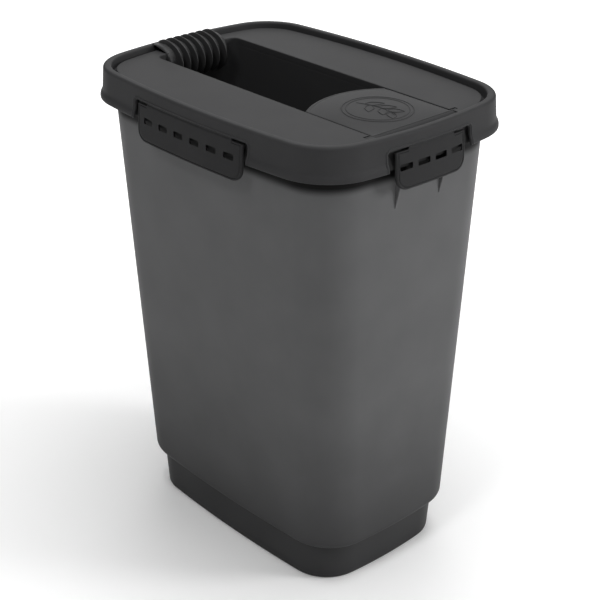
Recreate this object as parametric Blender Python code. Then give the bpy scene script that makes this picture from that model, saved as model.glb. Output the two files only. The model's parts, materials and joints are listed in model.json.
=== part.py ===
"""Tapered storage bin for dry food, with a clip-on lid, a pour flap and a hand recess.

Metres, +Z up. The origin is the middle of the footprint, on the surface that the bin
stands on. +X is the pour end, -X the end with the ribbed grip, and +-Y the long sides.
Nodes: bin, lid, lid_seal, ribbed_grip, pour_flap, clip_front, clip_back, clip_left,
clip_right.
"""
import math

import bmesh
import bpy

OBJECT_NAME = "storage_bin"

# An outline is (half length, half width, long side bulge, short side bulge, corner radius).
RIM = (0.1761, 0.1281, 0.0130, 0.0160, 0.0552)
WALL_TOP = (0.1607, 0.1126, 0.0065, 0.0077, 0.0464)
WALL_LOW = (0.1477, 0.0934, 0.0065, 0.0077, 0.0442)
FOOT_TOP = (0.1395, 0.0876, 0.0062, 0.0070, 0.0440)
FOOT_LOW = (0.1360, 0.0860, 0.0062, 0.0070, 0.0410)

# Points per quarter of an outline.
SHORT_STEPS = 3
ARC_STEPS = 6
LONG_STEPS = 4

# Bin heights and wall.
FOOT_ROUND = 0.0035
FOOT_Z = 0.0405
STEP_ROUND = 0.0085
WALL_TOP_Z = 0.429
WALL = 0.0022
FLOOR = 0.0030

# The bin's top: a flange and a flared skirt, as (inset from the rim outline, height).
BIN_SKIRT = (
    (0.0155, 0.4400), (0.0140, 0.4445), (0.0100, 0.4445), (0.0090, 0.4420), (0.0074, 0.4370),
    (0.0056, 0.4302), (0.0039, 0.4299), (0.0046, 0.4340), (0.0060, 0.4386), (0.0076, 0.4430),
    (0.0080, 0.4462), (0.0088, 0.4470), (0.0170, 0.4470), (0.0177, 0.4455),
)
INNER_INSET = 0.0177
INNER_Z = 0.4400

# The lid's section, from the middle of its underside round its edge to the panel.
LID_SECTION = (
    (0.0175, 0.4533), (0.0157, 0.4488), (0.0098, 0.4488), (0.0093, 0.4500), (0.0084, 0.4565),
    (0.0064, 0.4565), (0.0055, 0.4420), (0.0042, 0.4375), (0.0024, 0.4330), (0.0018, 0.4294),
    (0.0006, 0.4294), (0.0000, 0.4304), (0.0000, 0.4325), (0.0006, 0.4347), (0.0018, 0.4367),
    (0.0023, 0.4387), (0.0026, 0.4430), (0.0036, 0.4582), (0.0043, 0.4594), (0.0056, 0.4600),
    (0.0095, 0.4600), (0.0106, 0.4594), (0.0110, 0.4583), (0.0116, 0.4522), (0.0121, 0.4510),
    (0.0135, 0.4510), (0.0142, 0.4516), (0.0147, 0.4549), (0.0151, 0.4557), (0.0157, 0.4557),
)
PANEL_Z = 0.4557
SEAL_INSETS = (0.0153, 0.0127)
SEAL_Z = (0.4473, 0.4485)

# Hand recess and the bay under the pour flap.
BAY_HALF = 0.0485
RECESS_X = (-0.1430, 0.0710)
RECESS_FLOOR_Z = 0.3920
RECESS_CORNER = 0.008
POCKET_WALL = 0.0020
BAY_X = 0.1514
LEDGE_Z = (0.4472, 0.4495)
SPOUT_X = (0.0800, 0.1420)
SPOUT_HALF = 0.0380
SPOUT_CORNER = 0.010
UNION_Z = 0.4545
CUT_OVER = 0.004
PIN_WELL_HALF = 0.0040
PIN_WELL_WALL = 0.0018

# Pour flap.
FLAP_HINGE = (0.1486, 0.4540)
FLAP_EDGE_X = 0.0500
FLAP_SAG = 0.0160
FLAP_HALF = 0.0481
FLAP_Z = (0.4528, 0.4554)
FLAP_CROWN = 0.0028
FLAP_LIP_DROP = 0.0024
PIN_RADIUS = 0.0015
PIN_REACH = 0.0550
PIN_SLOT_HALF = 0.0020
PIN_SLOT_REACH = 0.0557
PIN_SLOT_Z = 0.4520

# Ribbed grip: thin fins round a core, both with an elliptical section.
GRIP_HALF = 0.036
RIB_COUNT = 7
RIB_PITCH = 0.0090
RIB_THICK = 0.0018
RIB_TAPER = 0.0003
RIB_DEPTH = (0.0072, 0.0040)
CHEEK_DEPTH = (0.0084, 0.0043)
GRIP_RIM_X = -0.1665
GRIP_RIM_Z = 0.4619
GRIP_DROP_X = -0.1618
GRIP_BACK_X = -0.1426
GRIP_CENTRE = (-0.1560, 0.4455)
GRIP_REACH = 0.0270
GRIP_RISE = 0.0196
GRIP_SINK = 0.0220
GRIP_LAST_ANGLE = 144
GRIP_UNDER_Z = 0.4603
GAP = 0.0003

# Locking clips.
CLIP_TOP_Z = 0.4470
CLIP_BOTTOM_Z = 0.4108
CLIP_CORNER = 0.012
CLIP_THICK = 0.0029
CLIP_SLIT = 0.0010
CLIP_SLIT_LENGTH = 0.014
SLOT_Z = 0.4312
SLOT_HEIGHT = 0.0038
NOTCH_Z = 0.4474
NOTCH_DEPTHS = (0.0117, 0.0112)
LONG_CLIP = {"half": 0.0725, "notch": 0.0780, "slots": 6, "pitch": 0.0223, "slot": 0.0115}
SHORT_CLIP = {"half": 0.0415, "notch": 0.0497, "slots": 4, "pitch": 0.0203, "slot": 0.0130}
CLIP_AXIS_INSET = 0.0030
CLIP_AXIS_Z = 0.4472

# Gussets under the bin's flange on the two short ends.
GUSSET_YS = (-0.027, 0.027)
GUSSET_THICK = 0.0022
GUSSET_Z = (0.3880, 0.4310, 0.4440)
GUSSET_INSETS = (0.0052, 0.0095)
GUSSET_BURY = 0.0010
GUSSET_TIP = 0.0007

MATERIALS = {
    "smoked_plastic": ((0.072, 0.072, 0.074), 0.42),
    "lid_plastic": ((0.052, 0.052, 0.054), 0.48),
    "clip_plastic": ((0.048, 0.048, 0.050), 0.45),
    "grip_rubber": ((0.030, 0.030, 0.031), 0.70),
    "seal_rubber": ((0.200, 0.200, 0.200), 0.65),
}


def clear_scene():
    for obj in list(bpy.data.objects):
        bpy.data.objects.remove(obj, do_unlink=True)


def new_collection(name):
    collection = bpy.data.collections.new(name)
    bpy.context.scene.collection.children.link(collection)
    return collection


def material(name):
    found = bpy.data.materials.get(name)
    if found:
        return found
    colour, roughness = MATERIALS[name]
    made = bpy.data.materials.new(name)
    made.use_nodes = True
    shader = made.node_tree.nodes["Principled BSDF"]
    shader.inputs["Base Color"].default_value = (*colour, 1.0)
    shader.inputs["Roughness"].default_value = roughness
    shader.inputs["Metallic"].default_value = 0.0
    return made


# Outlines ---------------------------------------------------------------

def mix(low, high, t):
    return tuple(p + (q - p) * t for p, q in zip(low, high))


def inset(shape, distance):
    a, b, long_bulge, short_bulge, radius = shape
    return a - distance, b - distance, long_bulge, short_bulge, radius - distance


def corner(shape):
    """Centre of the corner arc that touches both bowed sides, and its two end angles."""
    a, b, long_bulge, short_bulge, radius = shape
    x_long, y_short = a - radius, b - radius
    for _ in range(60):
        slope = -2 * long_bulge * x_long / a ** 2
        lean = -2 * short_bulge * y_short / b ** 2
        long_norm, short_norm = math.hypot(1, slope), math.hypot(1, lean)
        cx = a - short_bulge * (y_short / b) ** 2 - radius / short_norm
        cy = b - long_bulge * (x_long / a) ** 2 - radius / long_norm
        x_long = cx - radius * slope / long_norm
        y_short = cy - radius * lean / short_norm
    return (cx, cy), (math.atan2(-lean, 1), math.atan2(1, -slope)), x_long, y_short


def long_side(shape, x):
    return shape[1] - shape[2] * (x / shape[0]) ** 2


def short_side(shape, y):
    return shape[0] - shape[3] * (y / shape[1]) ** 2


def quarter(shape):
    """Outline points from the +X axis round the corner to the +Y axis."""
    (cx, cy), (first, last), x_long, y_short = corner(shape)
    radius = shape[4]
    points = []
    for i in range(SHORT_STEPS):
        y = y_short * i / SHORT_STEPS
        points.append((short_side(shape, y), y))
    for i in range(ARC_STEPS):
        angle = first + (last - first) * i / ARC_STEPS
        points.append((cx + radius * math.cos(angle), cy + radius * math.sin(angle)))
    for i in range(LONG_STEPS + 1):
        x = x_long * (1 - i / LONG_STEPS)
        points.append((x, long_side(shape, x)))
    return points


def loop(shape, z):
    """One closed outline at height z, anticlockwise from the +X axis."""
    first = quarter(shape)
    second = [(-x, y) for x, y in reversed(first[:-1])]
    half = first + second
    other = [(-x, -y) for x, y in half[1:-1]]
    return [(x, y, z) for x, y in half + other]


# Meshes -----------------------------------------------------------------

def finish_mesh(name, mesh, collection, material_name):
    obj = bpy.data.objects.new(name, mesh)
    collection.objects.link(obj)
    if material_name:
        mesh.materials.append(material(material_name))
        mesh.shade_smooth()
        mesh.set_sharp_from_angle(angle=math.radians(35))
    else:
        obj.hide_render = True
        obj.display_type = "WIRE"
    return obj


def skin(name, rings, collection, material_name=None, closed=False):
    """A closed body through rings of equal length, capped at both ends or joined up."""
    bm = bmesh.new()
    loops = [[bm.verts.new(point) for point in ring] for ring in rings]
    pairs = list(zip(loops, loops[1:]))
    if closed:
        pairs.append((loops[-1], loops[0]))
    count = len(rings[0])
    for low, high in pairs:
        for i in range(count):
            j = (i + 1) % count
            bm.faces.new((low[i], low[j], high[j], high[i]))
    if not closed:
        bm.faces.new(list(reversed(loops[0])))
        bm.faces.new(loops[-1])
    bmesh.ops.recalc_face_normals(bm, faces=bm.faces)
    mesh = bpy.data.meshes.new(name)
    bm.to_mesh(mesh)
    bm.free()
    return finish_mesh(name, mesh, collection, material_name)


def box(name, low, high, collection):
    """A box between two corners."""
    bm = bmesh.new()
    bmesh.ops.create_cube(bm, size=1.0)
    for vert in bm.verts:
        vert.co = [p + (q - p) * (c + 0.5) for p, q, c in zip(low, high, vert.co)]
    mesh = bpy.data.meshes.new(name)
    bm.to_mesh(mesh)
    bm.free()
    return finish_mesh(name, mesh, collection, None)


def rounded_block(name, xs, half, radius, zs, collection, arc_steps=5):
    """A block with four rounded upright edges."""
    middle = (xs[0] + xs[1]) / 2
    reach = (xs[1] - xs[0]) / 2 - radius
    points = []
    for turn, (sx, sy) in enumerate(((1, 1), (-1, 1), (-1, -1), (1, -1))):
        for i in range(arc_steps + 1):
            angle = (turn + i / arc_steps) * math.pi / 2
            x = middle + sx * reach + radius * math.cos(angle)
            y = sy * (half - radius) + radius * math.sin(angle)
            points.append((x, y))
    rings = [[(x, y, z) for x, y in points] for z in zs]
    return skin(name, rings, collection)


def combine(target, tool, operation):
    step = target.modifiers.new(f"{operation.lower()}_{tool.name}", "BOOLEAN")
    step.object = tool
    step.operation = operation
    step.solver = "EXACT"


def set_origin(obj, point):
    """Move the origin to a point, leaving the shape where it is."""
    for vert in obj.data.vertices:
        vert.co = [c - p for c, p in zip(vert.co, point)]
    obj.location = point


# Bin --------------------------------------------------------------------

def bin_rings():
    rings = []
    for step in (0.0, 0.45, 0.8, 1.0):
        drop = FOOT_ROUND * (1 - math.sqrt(1 - (1 - step) ** 2))
        rings.append(loop(inset(FOOT_LOW, drop), FOOT_ROUND * step))
    rings.append(loop(FOOT_TOP, FOOT_Z))
    for angle in (30, 60, 90):
        turn = math.radians(angle)
        shape = mix(FOOT_TOP, WALL_LOW, math.sin(turn))
        rings.append(loop(shape, FOOT_Z + STEP_ROUND * (1 - math.cos(turn))))
    start = FOOT_Z + STEP_ROUND
    for t in (0.35, 0.7, 1.0):
        rings.append(loop(mix(WALL_LOW, WALL_TOP, t), start + (WALL_TOP_Z - start) * t))
    rings += [loop(inset(RIM, distance), z) for distance, z in BIN_SKIRT]
    rings.append(loop(inset(RIM, INNER_INSET), INNER_Z))
    for t in (1.0, 0.7, 0.35, 0.0):
        shape = inset(mix(WALL_LOW, WALL_TOP, t), WALL)
        rings.append(loop(shape, start + (WALL_TOP_Z - start) * t))
    rings.append(loop(inset(FOOT_TOP, WALL), FOOT_Z))
    rings.append(loop(inset(FOOT_LOW, WALL), FOOT_ROUND + FLOOR))
    rings.append(loop(inset(FOOT_LOW, WALL + FOOT_ROUND), FLOOR))
    return rings


def gusset(name, side, y, cutters):
    """A triangular web between the wall and the skirt."""
    low_z, skirt_z, top_z = GUSSET_Z
    height = (low_z - FOOT_Z - STEP_ROUND) / (WALL_TOP_Z - FOOT_Z - STEP_ROUND)
    wall_low = short_side(mix(WALL_LOW, WALL_TOP, height), y)
    wall_top = short_side(WALL_TOP, y)
    skirt = short_side(inset(RIM, GUSSET_INSETS[0]), y)
    under = short_side(inset(RIM, GUSSET_INSETS[1]), y)
    profile = (
        (wall_low - GUSSET_BURY, low_z), (wall_low + GUSSET_TIP, low_z),
        (skirt, skirt_z - GUSSET_TIP), (skirt, skirt_z), (under, top_z),
        (wall_top - GUSSET_BURY, top_z),
    )
    half = GUSSET_THICK / 2
    rings = [[(side * x, at, z) for x, z in profile] for at in (y - half, y + half)]
    return skin(name, rings, cutters)


def make_bin(parts, cutters):
    body = skin("bin", bin_rings(), parts, "smoked_plastic")
    for side, word in ((1, "pour"), (-1, "grip")):
        for number, y in enumerate(GUSSET_YS):
            combine(body, gusset(f"gusset_{word}_{number}", side, y, cutters), "UNION")


# Lid --------------------------------------------------------------------

def lid_additions(cutters):
    half = BAY_HALF + POCKET_WALL
    pocket_x = (RECESS_X[0] - POCKET_WALL, RECESS_X[1] + POCKET_WALL)
    pocket = rounded_block("pocket_shell", pocket_x, half, RECESS_CORNER + POCKET_WALL,
                           (RECESS_FLOOR_Z - POCKET_WALL, UNION_Z), cutters)
    ledge = box("ledge_shell", (RECESS_X[1] - CUT_OVER, -half, LEDGE_Z[0]),
                (BAY_X + POCKET_WALL, half, UNION_Z), cutters)
    wells = []
    for side in (-1, 1):
        ends = sorted((side * BAY_HALF, side * (PIN_SLOT_REACH + PIN_WELL_WALL)))
        low = (FLAP_HINGE[0] - PIN_WELL_HALF, ends[0], PIN_SLOT_Z - POCKET_WALL)
        high = (FLAP_HINGE[0] + PIN_WELL_HALF, ends[1], UNION_Z)
        wells.append(box(f"pin_well_{side}", low, high, cutters))
    return [pocket, ledge] + wells


def lid_cuts(cutters):
    above = PANEL_Z + CUT_OVER
    cuts = [
        rounded_block("recess_cut", RECESS_X, BAY_HALF, RECESS_CORNER,
                      (RECESS_FLOOR_Z, above), cutters),
        box("bay_cut", (RECESS_X[1] - 3 * CUT_OVER, -BAY_HALF, LEDGE_Z[1]),
            (BAY_X, BAY_HALF, above), cutters),
        rounded_block("spout_cut", SPOUT_X, SPOUT_HALF, SPOUT_CORNER,
                      (LEDGE_Z[0] - CUT_OVER, LEDGE_Z[1] + CUT_OVER), cutters),
        box("pin_slots", (FLAP_HINGE[0] - PIN_SLOT_HALF, -PIN_SLOT_REACH, PIN_SLOT_Z),
            (FLAP_HINGE[0] + PIN_SLOT_HALF, PIN_SLOT_REACH, above), cutters),
    ]
    low_z = min(z for _, z in LID_SECTION) - CUT_OVER
    for side in (-1, 1):
        ys = sorted((side * (RIM[1] - NOTCH_DEPTHS[0]), side * (RIM[1] + CUT_OVER)))
        cuts.append(box(f"long_notch_{side}", (-LONG_CLIP["notch"], ys[0], low_z),
                        (LONG_CLIP["notch"], ys[1], NOTCH_Z), cutters))
        xs = sorted((side * (RIM[0] - NOTCH_DEPTHS[1]), side * (RIM[0] + CUT_OVER)))
        cuts.append(box(f"short_notch_{side}", (xs[0], -SHORT_CLIP["notch"], low_z),
                        (xs[1], SHORT_CLIP["notch"], NOTCH_Z), cutters))
    return cuts


def make_lid(parts, cutters):
    rings = [loop(inset(RIM, distance), z) for distance, z in LID_SECTION]
    lid = skin("lid", rings, parts, "lid_plastic")
    for tool in lid_additions(cutters):
        combine(lid, tool, "UNION")
    for tool in lid_cuts(cutters):
        combine(lid, tool, "DIFFERENCE")


def make_seal(parts):
    outer, inner = SEAL_INSETS[1], SEAL_INSETS[0]
    section = ((inner, SEAL_Z[0]), (outer, SEAL_Z[0]), (outer, SEAL_Z[1]), (inner, SEAL_Z[1]))
    rings = [loop(inset(RIM, distance), z) for distance, z in section]
    skin("lid_seal", rings, parts, "seal_rubber", closed=True)


# Ribbed grip ------------------------------------------------------------

def grip_profile(depth):
    """Section across the grip, its surface sunk by depth, as (at the side, at the crest)."""
    cx, cz = GRIP_CENTRE
    reach, rise, sink = GRIP_REACH - depth[0], GRIP_RISE - depth[1], GRIP_SINK - depth[0]
    start_z = max(GRIP_RIM_Z - depth[1], GRIP_UNDER_Z + GAP)
    points = [(GRIP_RIM_X, start_z)]
    middle_z = cz + rise - 0.25 * (cz + rise - start_z)
    points.append(((GRIP_RIM_X + cx) / 2, middle_z))
    steps = 12
    for i in range(steps + 1):
        angle = math.radians(GRIP_LAST_ANGLE * i / steps)
        height = rise if angle < math.pi / 2 else sink
        x = max(GRIP_BACK_X + GAP, cx + reach * math.sin(angle))
        points.append((cx if i == 0 else x, cz + height * math.cos(angle)))
    points.append((GRIP_BACK_X, points[-1][1]))
    points.append((GRIP_BACK_X, PANEL_Z + GAP))
    points.append((GRIP_DROP_X, PANEL_Z + GAP))
    points.append((GRIP_DROP_X, GRIP_UNDER_Z))
    points.append((GRIP_RIM_X, GRIP_UNDER_Z))
    return points


def make_grip(parts):
    core = grip_profile(RIB_DEPTH)
    cheek = grip_profile(CHEEK_DEPTH)
    rib = grip_profile((0.0, 0.0))
    stations = [(-GRIP_HALF, cheek), (-GRIP_HALF + 0.0015, core)]
    for number in range(RIB_COUNT):
        y = (number - (RIB_COUNT - 1) / 2) * RIB_PITCH
        half = RIB_THICK / 2
        stations.append((y - half - RIB_TAPER, core))
        stations.append((y - half, rib))
        stations.append((y + half, rib))
        stations.append((y + half + RIB_TAPER, core))
    stations += [(GRIP_HALF - 0.0015, core), (GRIP_HALF, cheek)]
    rings = [[(x, y, z) for x, z in profile] for y, profile in stations]
    skin("ribbed_grip", rings, parts, "grip_rubber")


# Pour flap --------------------------------------------------------------

def flap_outline(shrink):
    """Plan of the flap: a bowed free edge, two straight sides and the hinge edge."""
    half = FLAP_HALF - shrink
    radius = (FLAP_HALF ** 2 + FLAP_SAG ** 2) / (2 * FLAP_SAG) - shrink
    centre_x = FLAP_EDGE_X + shrink + radius
    spread = math.asin(half / radius)
    hinge_x = FLAP_HINGE[0] - shrink * 0.5
    steps = 12
    points = [(hinge_x, -half), (hinge_x, -half / 2), (hinge_x, half / 2), (hinge_x, half)]
    mid_x = (hinge_x + FLAP_EDGE_X + FLAP_SAG) / 2
    points.append((mid_x, half))
    for i in range(steps + 1):
        angle = spread * (1 - 2 * i / steps)
        points.append((centre_x - radius * math.cos(angle), radius * math.sin(angle)))
    points.append((mid_x, -half))
    return points


def flap_rings():
    low, high = FLAP_Z
    rings = []
    lip_x = FLAP_EDGE_X + FLAP_SAG + 0.006
    for shrink, level in ((0.0035, low), (0.0030, low - FLAP_LIP_DROP),
                          (0.0008, low - FLAP_LIP_DROP), (0.0, low - FLAP_LIP_DROP + 0.0006),
                          (0.0, high - 0.0010), (0.0006, high - 0.0003), (0.0016, high)):
        ring = []
        for x, y in flap_outline(shrink):
            z = level if x < lip_x else max(level, low)
            ring.append((x, y, z))
        rings.append(ring)
    middle_x = (FLAP_HINGE[0] + FLAP_EDGE_X) / 2
    for scale in (0.85, 0.65, 0.4, 0.15):
        z = high + FLAP_CROWN * (1 - scale ** 2)
        rings.append([(middle_x + (x - middle_x) * scale, y * scale, z)
                      for x, y in flap_outline(0.0016)])
    return rings


def make_flap(parts, cutters):
    flap = skin("pour_flap", flap_rings(), parts, "lid_plastic")
    steps = 12
    circle = [math.tau * i / steps for i in range(steps)]
    rings = [[(FLAP_HINGE[0] + PIN_RADIUS * math.sin(angle), y,
               FLAP_HINGE[1] + PIN_RADIUS * math.cos(angle)) for angle in circle]
             for y in (-PIN_REACH, PIN_REACH)]
    barrel = skin("flap_barrel", rings, cutters)
    combine(flap, barrel, "UNION")
    set_origin(flap, (FLAP_HINGE[0], 0.0, FLAP_HINGE[1]))


# Locking clips ----------------------------------------------------------

def clip_section(bottom_z, top_z):
    """(inset, height) round the clip plate, outer side first."""
    return (
        (0.0040, top_z), (0.0026, top_z - 0.0012), (0.0011, top_z - 0.0036),
        (0.0003, top_z - 0.0066), (0.0000, top_z - 0.0105), (0.0000, bottom_z + 0.0020),
        (0.0006, bottom_z + 0.0006), (0.0014, bottom_z), (CLIP_THICK - 0.0007, bottom_z),
        (CLIP_THICK, bottom_z + 0.0007), (CLIP_THICK, top_z - 0.0100),
        (0.0034, top_z - 0.0060), (0.0044, top_z - 0.0024), (0.0054, top_z - 0.0008),
        (0.0050, top_z),
    )


def clip_stations(half):
    slit = half - CLIP_SLIT_LENGTH
    tail = [half - CLIP_CORNER * (1 - math.sin(math.radians(a))) for a in (0, 30, 55, 75, 90)]
    side = [slit * 0.5, slit, slit + 0.0004] + [t for t in tail if t > slit + 0.0006]
    return [-t for t in reversed(side)] + [0.0] + side


def clip_rings(size, along, side):
    """Sections of one clip. along is 'x' for a long side and 'y' for a short side."""
    half = size["half"]
    rings = []
    for station in clip_stations(half):
        reach = max(0.0, abs(station) - (half - CLIP_CORNER))
        rise = CLIP_CORNER - math.sqrt(max(0.0, CLIP_CORNER ** 2 - reach ** 2))
        slit = CLIP_SLIT if abs(station) > half - CLIP_SLIT_LENGTH + 0.0002 else 0.0
        ring = []
        for distance, z in clip_section(CLIP_BOTTOM_Z + rise, CLIP_TOP_Z - slit):
            shape = inset(RIM, distance)
            if along == "x":
                ring.append((station, side * long_side(shape, station), z))
            else:
                ring.append((side * short_side(shape, station), station, z))
        rings.append(ring)
    return rings


def clip_slots(name, size, along, side, cutters):
    """Boxes through the plate, one for each slot."""
    tools = []
    for number in range(size["slots"]):
        at = (number - (size["slots"] - 1) / 2) * size["pitch"]
        span = (at - size["slot"] / 2, at + size["slot"] / 2)
        height = (SLOT_Z - SLOT_HEIGHT / 2, SLOT_Z + SLOT_HEIGHT / 2)
        if along == "x":
            outer = long_side(RIM, at)
        else:
            outer = short_side(RIM, at)
        depth = sorted((side * (outer - 2 * CLIP_THICK), side * (outer + CLIP_THICK)))
        if along == "x":
            low, high = (span[0], depth[0], height[0]), (span[1], depth[1], height[1])
        else:
            low, high = (depth[0], span[0], height[0]), (depth[1], span[1], height[1])
        tools.append(box(f"{name}_slot_{number}", low, high, cutters))
    return tools


def make_clip(name, size, along, side, parts, cutters):
    clip = skin(name, clip_rings(size, along, side), parts, "clip_plastic")
    for tool in clip_slots(name, size, along, side, cutters):
        combine(clip, tool, "DIFFERENCE")
    if along == "x":
        set_origin(clip, (0.0, side * (RIM[1] - CLIP_AXIS_INSET), CLIP_AXIS_Z))
    else:
        set_origin(clip, (side * (RIM[0] - CLIP_AXIS_INSET), 0.0, CLIP_AXIS_Z))


def main():
    clear_scene()
    parts = new_collection(OBJECT_NAME)
    cutters = new_collection("cutters")
    make_bin(parts, cutters)
    make_lid(parts, cutters)
    make_seal(parts)
    make_grip(parts)
    make_flap(parts, cutters)
    make_clip("clip_front", LONG_CLIP, "x", -1, parts, cutters)
    make_clip("clip_back", LONG_CLIP, "x", 1, parts, cutters)
    make_clip("clip_left", SHORT_CLIP, "y", -1, parts, cutters)
    make_clip("clip_right", SHORT_CLIP, "y", 1, parts, cutters)


main()
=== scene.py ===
"""Looks for the storage bin: fine moulded shells, relief, film hinges and materials.

Metres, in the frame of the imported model. Main sizes are read from the frame; the others
are offsets from them.
"""

import json
import math

import bmesh
import bpy
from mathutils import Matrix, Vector


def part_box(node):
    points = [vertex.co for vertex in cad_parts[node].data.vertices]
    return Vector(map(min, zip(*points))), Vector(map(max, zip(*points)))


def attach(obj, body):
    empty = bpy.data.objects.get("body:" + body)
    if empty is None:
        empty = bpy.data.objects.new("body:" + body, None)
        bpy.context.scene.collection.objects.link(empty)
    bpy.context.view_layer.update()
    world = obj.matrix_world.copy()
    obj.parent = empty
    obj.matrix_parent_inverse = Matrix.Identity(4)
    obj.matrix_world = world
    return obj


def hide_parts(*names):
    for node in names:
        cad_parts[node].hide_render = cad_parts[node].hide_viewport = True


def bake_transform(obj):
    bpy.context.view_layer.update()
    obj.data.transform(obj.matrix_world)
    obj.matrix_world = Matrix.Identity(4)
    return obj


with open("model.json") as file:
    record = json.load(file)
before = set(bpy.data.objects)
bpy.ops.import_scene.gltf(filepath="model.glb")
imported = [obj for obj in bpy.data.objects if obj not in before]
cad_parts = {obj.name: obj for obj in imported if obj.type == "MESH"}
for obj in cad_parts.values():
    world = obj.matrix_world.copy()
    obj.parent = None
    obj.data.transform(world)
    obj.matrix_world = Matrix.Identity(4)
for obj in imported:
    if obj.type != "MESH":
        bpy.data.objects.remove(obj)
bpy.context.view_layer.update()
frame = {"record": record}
JOINTS = {joint["name"]: joint for joint in frame["record"]["behaviour"]["joints"]}

# Driving sizes from the frame ---------------------------------------------

RIM_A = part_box("clip_right")[1][0]
RIM_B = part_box("clip_back")[1][1]
CREST_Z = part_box("lid")[1][2]
POCKET_BOTTOM_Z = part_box("lid")[0][2]
BIN_TOP_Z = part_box("bin")[1][2]
SEAL_LOW, SEAL_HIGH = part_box("lid_seal")
GRIP_LOW, GRIP_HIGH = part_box("ribbed_grip")
FLAP_LOW, FLAP_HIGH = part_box("pour_flap")
FLAP_HINGE = JOINTS["flap_hinge"]["pos_m"]
CLIP_LOW, CLIP_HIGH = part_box("clip_front")

# Outlines: half length, half width, long side bulge, short side bulge, corner radius.
RIM = (RIM_A, RIM_B, 0.0130, 0.0160, 0.0552)
WALL_TOP = (RIM_A - 0.0154, RIM_B - 0.0155, 0.0065, 0.0077, 0.0464)
WALL_LOW = (RIM_A - 0.0284, RIM_B - 0.0347, 0.0065, 0.0077, 0.0442)
FOOT_TOP = (RIM_A - 0.0366, RIM_B - 0.0405, 0.0062, 0.0070, 0.0440)
FOOT_LOW = (RIM_A - 0.0401, RIM_B - 0.0421, 0.0062, 0.0070, 0.0410)
SHORT_STEPS = 14
ARC_STEPS = 22
LONG_STEPS = 18
WALL_STEPS = 14

# Bin.
FOOT_ROUND = 0.0035
FOOT_Z = 0.0405
STEP_ROUND = 0.0085
WALL_TOP_Z = CREST_Z - 0.031
WALL = 0.0022
FLOOR = 0.0030
INNER_STEP_RISE = 0.0015
# The catch skirt and rim, from the wall outwards, over the top and back down inside, as
# (inset from the rim outline, depth below the bin's top).
SKIRT_SECTION = (
    (0.0155, 0.0070), (0.0140, 0.0025), (0.0100, 0.0025), (0.0090, 0.0050), (0.0074, 0.0100),
    (0.0056, 0.0168), (0.0039, 0.0171), (0.0046, 0.0130), (0.0060, 0.0084), (0.0076, 0.0040),
    (0.0080, 0.0008), (0.0088, 0.0000), (0.0170, 0.0000), (0.0177, 0.0015), (0.0177, 0.0070),
)
SKIRT_ROUND = 0.0012

# Lid.
PANEL_Z = CREST_Z - 0.0043
BAY_HALF = 0.0485
RECESS_X = (-0.1430, 0.0710)
RECESS_CORNER = 0.008
POCKET_WALL = 0.0020
BAY_X = FLAP_HINGE[0] + 0.0020
LEDGE_Z = (PANEL_Z - 0.0085, PANEL_Z - 0.0062)
SPOUT_X = (0.0800, 0.1420)
SPOUT_HALF = 0.0380
SPOUT_CORNER = 0.010
UNION_Z = PANEL_Z - 0.0012
PIN_SLOT_HALF = 0.0020
PIN_PLAY = 0.0007
PIN_SLOT_REACH = FLAP_HIGH[1] + PIN_PLAY
PIN_SLOT_Z = FLAP_HINGE[2] - 0.0020
EDGE_ROUND = 0.0009
BAY_CORNER = 0.0079
POCKET_ROUND = 0.005
RECESS_ROUND = 0.004
SPOUT_EDGE_ROUND = 0.0008
CUT_OVER = 0.006
# A step too small to see, where a tool needs a level but no visible shape.
HAIR = 1e-4
# The ledge under the flap's hinge and the spout: overlaps with their neighbours.
LEDGE_LAP = 0.004
LEDGE_PAST = 0.0016
LEDGE_LIP = 0.001
BAY_SQUARE = 0.012
SPOUT_OVER = 0.003
PIN_WELL_HALF = 0.0040
PIN_WELL_WALL = 0.0018
PIN_WELL_FLOOR = 0.0020
# Fall of the panel between the flap's hinge and the rim, as (x, height).
HINGE_SLOPE = (
    (BAY_X - 0.0004, PANEL_Z - 0.0002), (BAY_X + 0.0020, PANEL_Z - 0.0006),
    (RIM_A - 0.0150, PANEL_Z - 0.0042), (RIM_A - 0.0130, PANEL_Z - 0.0046),
)
HINGE_SLOPE_ROUND = 0.0015
HINGE_SLOPE_OVER = 0.0004
SEAL_WIDTH = 0.0026
SEAL_ROUND = 0.0004

# Clips.
CLIP_TOP_Z = CLIP_HIGH[2]
CLIP_BOTTOM_Z = CLIP_LOW[2]
CLIP_CORNER = 0.012
CLIP_EDGE = 0.0013
CLIP_THICK = 0.0029
CLIP_SLIT = 0.0016
CLIP_SLIT_LENGTH = 0.014
CLIP_SLIT_LIP = 0.0009
CLIP_LEAST = 0.0003
# A fine groove inside the clip's edge: distance in, depth and half width.
CLIP_GROOVE = (0.0023, 0.0007, 0.0005)
CLIP_ROWS = 61
SLOT_Z = CLIP_TOP_Z - 0.0158
SLOT_HEIGHT = 0.0043
NOTCH_Z = CLIP_TOP_Z + 0.0004
NOTCH_LOW_Z = CREST_Z - 0.036
NOTCH_CORNER = 0.003
# Inset of the notches' inner end from the rim, by the side they are on.
NOTCH_END = {"x": 0.0117, "y": 0.0112}
# Lip of a notch, as (depth from the rim's face, growth of its outline).
NOTCH_LIP = ((-0.0060, 0.0010), (0.0, 0.0010), (0.00015, 0.00055), (0.0004, 0.00022),
             (0.0008, 0.0), (0.0040, 0.0))
BEAD_WIDTH = 0.0019
BEAD_HEIGHT = 0.0007
BEAD_OFFSET = 0.0021
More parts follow.
